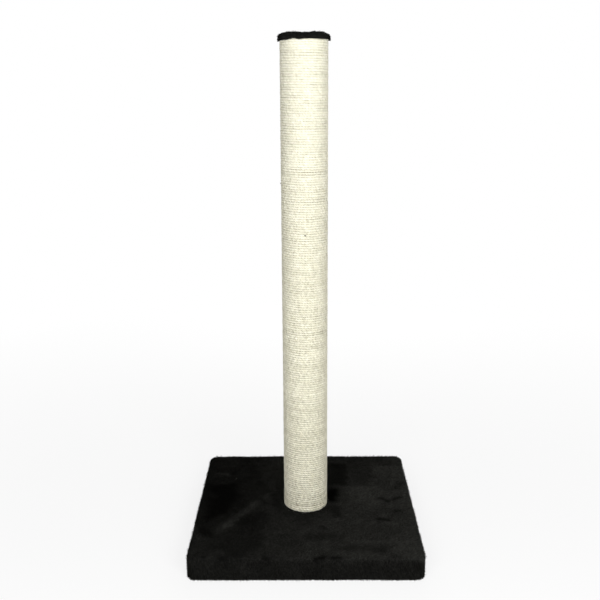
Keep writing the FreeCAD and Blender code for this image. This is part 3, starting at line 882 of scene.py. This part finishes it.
def tufts(
    name, shell, size, tone, material, heading, many, length, foot, seed, parts=1, lowest=-1.0, bare=None,
):
    """Pile: leaning tufts over the shell's outer faces, but where it is bare, as several pieces."""
    draw = np.random.RandomState(seed)
    root, flat, normal = spread(shell, many, draw)
    lean, turn = heading(root, normal, draw)
    tangent = unit(turn - (turn * normal).sum(-1, keepdims=True) * normal)
    tall = length * draw.uniform(0.75, 1.15, many) * (1 + 0.28 * ripples(seed + 1, 4 * MM, 11 * MM)(root))
    stand = normal * np.cos(lean)[:, None] + tangent * np.sin(lean)[:, None]
    tip = root + stand * tall[:, None]
    tip[:, 2] = np.maximum(tip[:, 2], lowest)
    other = np.cross(normal, tangent)
    spin = draw.uniform(0, TAU, many)
    wide = foot * draw.uniform(0.75, 1.25, many)
    feet = [
        root - normal * 0.15 * MM
        + (np.cos(spin + k * TAU / 3) * wide)[:, None] * tangent
        + (np.sin(spin + k * TAU / 3) * wide)[:, None] * other
        for k in range(3)
    ]
    points = np.stack(feet + [tip], 1)
    points[..., 2] = np.maximum(points[..., 2], lowest)
    normals = [unit(0.8 * normal + 0.6 * unit(f - root)) for f in feet]
    normals = np.stack(normals + [unit(0.5 * stand + normal)], 1)
    shape = np.array([[0, 1, 3], [1, 2, 3], [2, 0, 3], [2, 1, 0]])
    value = PILE_GAIN * as_light(tone(flat)) * np.clip(draw.normal(1, 0.22, many), 0.4, 1.8)
    made = []
    shown = np.flatnonzero(~bare(root)) if bare else np.arange(many)
    for part, group in enumerate(np.array_split(shown, parts)):
        count = len(group)
        faces = (shape[None] + 4 * np.arange(count)[:, None, None]).reshape(-1, 3)
        label = f"{name}_{part + 1}" if parts > 1 else name
        piece = mesh_piece(label, points[group].reshape(-1, 3), [faces], material, "black_plush")
        piece.data.normals_split_custom_set_from_vertices(normals[group].reshape(-1, 3))
        # painted shade darkens each tuft's root
        light = value[group][:, None] * np.array([TUFT_ROOT_PAINTED_SHADE, TUFT_ROOT_PAINTED_SHADE, TUFT_ROOT_PAINTED_SHADE, 1.0])
        point_values(piece, "nap", light.ravel())
        spots = np.tile(np.array([[0, 0], [1, 0], [0, 1]]) * TUFT_SPOT, (4 * count, 1))
        corner_places(piece, np.repeat(flat[group] / size + 0.5, 12, 0) + spots)
        made.append(piece)
    return made


def base_shell():
    """The plush over the base: under the post, over the top, down the sides and back as a hem."""
    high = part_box("base_plush_cover")[1]
    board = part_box("base_board_upper")[1]
    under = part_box("base_board_lower")[0].z
    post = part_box("sisal_rope_lower_turns")[1].x
    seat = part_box("post_tube")[0].z
    corners, outward = square_ring()
    shell = Shell(len(corners))
    drift = ripples(21, 70 * MM, 260 * MM)

    half = high.x - PILE_DEPTH
    straight = half - (PLAN_CORNER - PILE_DEPTH)
    top = high.z + TOP_STAND
    edge = half - CLOTH_TOP_ROUND
    rim = straight * corners + (edge - straight) * outward
    rays = unit(rim)

    def square(reach, height, flat_reach, outer=True, part=straight):
        plan = part * corners + (reach - part) * outward
        if outer:
            sway = CLOTH_SWAY * drift(np.column_stack([plan, np.full(len(plan), height)]))
            plan = plan + sway[:, None] * outward
        shell.ring(plan, height, straight * corners + (flat_reach - straight) * outward, outer)

    # Under the post, out of its seat and over the top.
    for radius in np.linspace(BOLT_HOLE, post - 1.5 * MM, 6):
        shell.ring(radius * rays, seat - 0.25 * MM, radius * rays, False)
    foot = post + SEAT_GAP
    for radius, height in ((foot, seat + 0.2 * MM), (foot + 0.6 * MM, top - 0.3 * MM)):
        shell.ring(radius * rays, height, radius * rays, True)
    for share in np.linspace(0, 1, 64):
        plan = (foot + 1.6 * MM) * rays * (1 - share) + rim * share
        swell = CLOTH_SWELL * drift(np.column_stack([plan, np.zeros(len(plan))]))
        shell.ring(plan, top + swell * math.sin(math.pi * share), plan, True)

    # Down the sides and under.
    for bend in steps_to(TAU / 4, 8):
        reach = edge + CLOTH_TOP_ROUND * math.sin(bend)
        square(reach, top - CLOTH_TOP_ROUND * (1 - math.cos(bend)), edge + CLOTH_TOP_ROUND * bend)
    flat = edge + CLOTH_TOP_ROUND * TAU / 4
    side_top, side_low = top - CLOTH_TOP_ROUND, HEM_LIFT + CLOTH_LOW_ROUND
    side = side_top - side_low
    for share in steps_to(1, 12):
        square(half, side_top - side * share, flat + side * share)
    flat += side
    for bend in steps_to(TAU / 4, 6):
        reach = half - CLOTH_LOW_ROUND * (1 - math.cos(bend))
        square(reach, side_low - CLOTH_LOW_ROUND * math.sin(bend), flat + CLOTH_LOW_ROUND * bend)
    flat += CLOTH_LOW_ROUND * TAU / 4

    # The hem, drawn up at the staples, and the cloth's back against the boards.
    hem_out = half - CLOTH_LOW_ROUND
    hem_in = high.x - HEM_WIDTH
    hem_straight = hem_in - HEM_CORNER
    staple_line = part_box("hem_staples")[1].x
    for share in steps_to(1, 12):
        reach = hem_out + (hem_in - hem_out) * share
        part = straight + (hem_straight - straight) * share
        pull = STAPLE_PULL * math.exp(-((reach - staple_line) / STAPLE_VALLEY) ** 2)
        square(reach, HEM_LIFT + pull, flat + (hem_out - hem_in) * share, True, part)
    flat += hem_out - hem_in
    back = under - CLOTH_BACK
    for reach, height in ((hem_in - 0.5 * MM, (HEM_LIFT + back) / 2), (hem_in, back)):
        square(reach, height, flat, False, hem_straight)
    inner = board.x + CLOTH_BACK
    inner_straight = board.x - BOARD_CORNER
    for share in steps_to(1, 4):
        reach = hem_in + (inner - hem_in) * share
        part = hem_straight + (inner_straight - hem_straight) * share
        square(reach, back, flat - (reach - hem_in), False, part)
    inner_top = board.z + CLOTH_BACK
    for share in steps_to(1, 4):
        height = back + (inner_top - back) * share
        square(inner, height, edge + (1 - share) * side, False, inner_straight)
    outline = inner_straight * corners + (inner - inner_straight) * outward
    for share in steps_to(1, 11):
        plan = outline * (1 - share) + BOLT_HOLE * rays * share
        shell.ring(plan, inner_top, plan, False)
    return shell, 2 * flat


def leaning(angle, normal, sway):
    """Which way pile leans: at an angle over the top, and downwards, with some sway, on the sides."""
    turn = np.stack([np.cos(angle), np.sin(angle), np.zeros(len(angle))], -1)
    side = 1 - np.abs(normal[:, 2:3])
    return turn * (1 - side) + side * (np.array([0, 0, -1.0]) + sway * turn)


def base_heading(post):
    """How the base's pile leans: in swirls over the top, downwards on the sides, away from the post."""
    swirl = ripples(31, 90 * MM, 320 * MM)
    jitter = ripples(32, 12 * MM, 45 * MM)

    def heading(root, normal, draw):
        flatly = root * [1, 1, 0]
        angle = -0.9 + 0.9 * swirl(flatly) + 0.45 * jitter(root) + draw.normal(0, 0.35, len(root))
        turn = leaning(angle, normal, 0.5)
        away = np.hypot(root[:, 0], root[:, 1]) - post
        near = np.exp(-(away / (5 * MM)) ** 2)[:, None]
        turn = turn * (1 - near) + near * unit(flatly)
        flatness = np.abs(normal[:, 2])
        rim = np.clip(4 * flatness * (1 - flatness), 0, 1)
        lean = 1.05 + draw.normal(0, 0.12 + 0.12 * rim) - 0.65 * near[:, 0] - 0.35 * rim
        lean = np.where(normal[:, 2] < -0.6, 1.35, lean)
        return lean, turn

    return heading


def beside_staples():
    """A test of whether places are beside the crown of one of the hem's staples."""
    mesh = nodes["hem_staples"].data
    faces = [np.array([mesh.vertices[v].co[:2] for v in face.vertices]) for face in mesh.polygons]
    boxes = np.array([np.concatenate([f.min(0) - PILE_PRESSED, f.max(0) + PILE_PRESSED]) for f in faces])
    boxes = np.unique(np.round(boxes / MM, 2), axis=0) * MM

    def pressed(root):
        found = np.zeros(len(root), bool)
        on_hem = np.flatnonzero(root[:, 2] < HEM_LIFT + 2 * STAPLE_PULL)
        places = root[on_hem, :2]
        for box in boxes:
            found[on_hem] |= ((places > box[:2]) & (places < box[2:])).all(-1)
        return found

    return pressed


def plush_cover(node, names, finishes, shell, size, tone, **pile):
    """Plush in place of a node: a sheet of cloth, and the tufts that stand on it."""
    cloth = shell.build(names[0], finishes[0], size)
    # the cloth gets painted shade between the tufts
    point_values(cloth, "nap", CLOTH_PAINTED_SHADE * as_light(tone(np.concatenate(shell.flats))))
    pieces = tufts(names[1], shell, size, tone, finishes[1], **pile)
    for piece in [cloth] + pieces:
        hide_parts(node)
    return cloth, pieces


def base_plush():
    """The base's plush, with the painted sheen and shade of its brushed nap."""
    shell, size = base_shell()
    field = ripples(23, 45 * MM, 220 * MM)
    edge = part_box("base_plush_cover")[1].x - TOP_ROUND / 2

    def tone(flat):
        return base_nap_sheen(flat, field, edge)

    cover, pile = plush_cover(
        "base_plush_cover", ("base_plush", "base_pile"),
        (plush_finish("plush_cloth", 0.2), plush_finish("plush_pile", 0.4)), shell, size, tone,
        heading=base_heading(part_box("sisal_rope_lower_turns")[1].x),
        many=BASE_TUFTS, length=TUFT_LENGTH, foot=TUFT_FOOT, seed=24, parts=PILE_PARTS,
        lowest=0.05 * MM, bare=beside_staples(),
    )


# ---------------------------------------------------------------- the cap

CAP_AROUND = 200
CAP_NAP = 20
CAP_PILE = 1.5 * MM
CAP_CROWN = -1.4 * MM           # how far the cloth stands over the plain solid
CAP_ROUND = 5.5 * MM
CAP_TUFTS = 9000
CAP_TUFT_LENGTH = 3.0 * MM
CAP_TUFT_FOOT = 0.7 * MM
CAP_WAVE = 0.28 * MM            # how far the rim's small waves stand out
CAP_WAVES = (3, 5, 8, 13, 21, 29, 37, 46)  # how many of each kind go round it
CAP_LINING = 0.5 * MM           # clear of the rope inside the skirt
CAP_INNER_ROUND = 1.5 * MM
CAP_MIDDLE = 0.2 * MM           # the radius of the ring at the very middle
# Puckers of the cap's rim: the side they are on in degrees from +X, how wide, how high.
CAP_PUCKERS = (
    (-135, 20, 1.9), (-42, 20, 1.9), (-111, 7, 0.9), (-64, 6, 1.7), (-12, 13, -1.8), (-168, 13, -1.1),
    (35, 14, 1.0), (100, 16, 0.8), (150, 10, 1.2),
)
# Where the skirt's lower edge is drawn up or hangs down, in the same way.
CAP_HEM = (
    (-75, 42, 1.9), (-116, 9, 1.5), (-100, 5, -0.9), (-64, 5, -0.6), (-22, 14, 1.3), (-170, 12, -0.6),
    (60, 40, 1.0), (140, 15, 0.8),
)


def cap_shell():
    """The plush cap: a disc over the top, turned down over the last turns of rope."""
    low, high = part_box("cap_plush")
    shell = Shell(CAP_AROUND)
    angle = TAU * np.arange(CAP_AROUND) / CAP_AROUND
    rays = np.stack([np.cos(angle), np.sin(angle)], -1)
    reach = high.x - CAP_PILE
    top = high.z + CAP_CROWN
    edge = reach - CAP_ROUND
    draw = np.random.RandomState(41)
    waves = sum(
        draw.uniform(0.3, 1.0) / many ** 0.6 * np.sin(many * angle + draw.uniform(0, TAU))
        for many in CAP_WAVES
    )

    def swells(places):
        total = np.zeros(CAP_AROUND)
        for side, width, rise in places:
            off = (np.degrees(angle) - side + 180) % 360 - 180
            total += rise * MM * np.exp(-(off / width) ** 2)
        return total

    pucker = swells(CAP_PUCKERS)

    def ring(radius, height, flat, outer=True, rise=0.0, ripple=0.0):
        plan = (radius + ripple * CAP_WAVE * waves)[:, None] * rays
        shell.ring(plan, height + rise * pucker, flat * rays, outer)

    # The top, the rim and the skirt with its ragged edge.
    for radius in (CAP_MIDDLE, *np.linspace(2 * MM, edge, 16)):
        share = radius / edge
        ring(radius, top - 0.5 * MM * (1 - share ** 2), radius, True, share ** 4, share ** 3)
    for bend in steps_to(TAU / 4, 7):
        height = top - CAP_ROUND * (1 - math.cos(bend))
        flat = edge + CAP_ROUND * bend
        ring(edge + CAP_ROUND * math.sin(bend), height, flat, True, math.cos(bend) ** 2, 1.0)
    skirt_top = top - CAP_ROUND
    skirt = skirt_top - low.z
    ragged = low.z + 0.2 * MM + swells(CAP_HEM) + 0.30 * MM * waves
    for share in steps_to(1, 6):
        height = skirt_top + (ragged - skirt_top) * share
        ring(reach, height, flat + skirt * share, True, 0, 1 + share)
    flat += skirt

    # Its lining, up over the rope and across the tube's top.
    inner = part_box("sisal_rope_upper_turns")[1].x + CAP_LINING
    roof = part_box("post_tube")[1].z + 0.3 * MM
    corner = roof - CAP_INNER_ROUND
    ring((reach + inner) / 2, ragged - 0.4 * MM, flat, False, 0, 1.0)
    for height in (ragged + 0.2 * MM, ragged + (corner - ragged) * 0.5, corner):
        ring(inner, height, flat, False)
    for bend in steps_to(TAU / 4, 3):
        radius = inner - CAP_INNER_ROUND * (1 - math.cos(bend))
        ring(radius, roof - CAP_INNER_ROUND * (1 - math.sin(bend)), flat, False)
    for radius in np.linspace(inner - CAP_INNER_ROUND, CAP_MIDDLE, 6)[1:]:
        ring(radius, roof, radius, False)
    return shell, 2 * flat


def cap_plush():
    """The cap's plush, with an even nap."""
    shell, size = cap_shell()
    field = ripples(43, 12 * MM, 60 * MM)
    swirl = ripples(44, 20 * MM, 90 * MM)

    def tone(flat):
        return CAP_NAP + 3 * field(np.concatenate([flat, flat[:, :1] * 0], -1))

    def heading(root, normal, draw):
        angle = 2.2 + 1.2 * swirl(root) + draw.normal(0, 0.5, len(root))
        return 0.85 + draw.normal(0, 0.2, len(root)), leaning(angle, normal, 0.6)

    cap, pile = plush_cover(
        "cap_plush", ("cap_cloth", "cap_pile"),
        (plush_finish("cap_plush_cloth", 0.25), plush_finish("cap_plush_pile", 0.5)),
        shell, size, tone, heading=heading,
        many=CAP_TUFTS, length=CAP_TUFT_LENGTH, foot=CAP_TUFT_FOOT, seed=45,
    )


# ---------------------------------------------------------------- camera, light and floor

PHOTO_SIDE = 600
FOCAL_PIXELS = 842.3
CAMERA_PLACE = (0.0013, -1.6178, 0.9047)
CAMERA_PITCH = math.radians(-14.55)
CAMERA_YAW = math.radians(-0.39)
CAMERA_ROLL = math.radians(-0.305)


def camera():
    made = bpy.data.objects.new("camera", bpy.data.cameras.new("camera"))
    bpy.context.scene.collection.objects.link(made)
    ahead = Vector((
        math.sin(CAMERA_YAW) * math.cos(CAMERA_PITCH),
        math.cos(CAMERA_YAW) * math.cos(CAMERA_PITCH),
        math.sin(CAMERA_PITCH),
    ))
    level = ahead.cross(Vector((0, 0, 1))).normalized()
    upright = level.cross(ahead)
    right = level * math.cos(CAMERA_ROLL) + upright * math.sin(CAMERA_ROLL)
    up = right.cross(ahead)
    turn = Matrix((right, up, -ahead)).transposed().to_4x4()
    made.matrix_world = Matrix.Translation(CAMERA_PLACE) @ turn
    made.data.sensor_width = 36.0
    made.data.lens = 36.0 * FOCAL_PIXELS / PHOTO_SIDE
    made.data.clip_end = 100.0
    bpy.context.scene.camera = made


def seen_directly(tree):
    """1 for what the camera sees, straight or in a gloss or through glass, else 0."""
    rays = shader_node(tree, "LightPath", {}).outputs
    total = rays["Is Camera Ray"]
    for name in ("Is Glossy Ray", "Is Transmission Ray"):
        total = shader_node(tree, "Math", {0: total, 1: rays[name]}, operation="MAXIMUM").outputs[0]
    return total


def world(strength):
    """Even light from all sides, before a white that only the camera sees."""
    made = bpy.data.worlds.new("studio")
    bpy.context.scene.world = made
    made.use_nodes = True
    tree = made.node_tree
    lit = tree.nodes["Background"]
    lit.inputs["Color"].default_value = (1, 1, 1, 1)
    lit.inputs["Strength"].default_value = strength
    white = shader_node(tree, "Background", {"Color": (1, 1, 1, 1), "Strength": 1.0})
    inputs = {0: seen_directly(tree), 1: lit.outputs[0], 2: white.outputs[0]}
    choice = shader_node(tree, "MixShader", inputs).outputs[0]
    feed(tree, tree.nodes["World Output"].inputs["Surface"], choice)


def floor():
    """A white floor that keeps a faint shadow near the object and fades to white around it."""
    size = 12.0
    points = np.array([[-size, -size, 0], [size, -size, 0], [size, size, 0], [-size, size, 0]])
    made = Finish("white_floor", 0.9, Specular_IOR_Level=0.0)
    made.colour(rgb(244, 244, 244))
    tree = made.tree
    distance = made.node("VectorMath", {0: made.place()}, operation="LENGTH").outputs["Value"]
    glow = made.ramp(made.maths("DIVIDE", distance, 2.0), (0.15, 0.80), (0.9, 1.0))
    share = made.maths("MULTIPLY", glow, seen_directly(tree))
    light = made.node("Emission", {"Color": (1, 1, 1, 1), "Strength": 1.0}).outputs[0]
    choice = made.node("MixShader", {0: share, 1: made.shader.outputs[0], 2: light}).outputs[0]
    feed(tree, tree.nodes["Material Output"].inputs["Surface"], choice)
    mesh_piece("floor", points, [[[0, 1, 2, 3]]], made.material)


def lamp(name, place, target, size, power):
    data = bpy.data.lights.new(name, "AREA")
    data.shape = "SQUARE"
    data.size = size
    data.energy = power
    made = bpy.data.objects.new(name, data)
    bpy.context.scene.collection.objects.link(made)
    made.location = place
    made.rotation_euler = (Vector(target) - Vector(place)).to_track_quat("-Z", "Y").to_euler()


def studio():
    camera()
    world(0.26)
    floor()
    lamp("key", (0.65, -1.57, 0.95), (0, 0, 0.50), 0.8, 21)
    lamp("fill", (-0.58, -1.60, 0.95), (0, 0, 0.50), 0.8, 14.5)
    lamp("back", (0.15, 2.10, 0.60), (0, 0, 0.50), 1.6, 32)
    bpy.context.scene.view_settings.view_transform = "Standard"


studio()
frame_finishes()
sisal()
base_plush()
cap_plush()
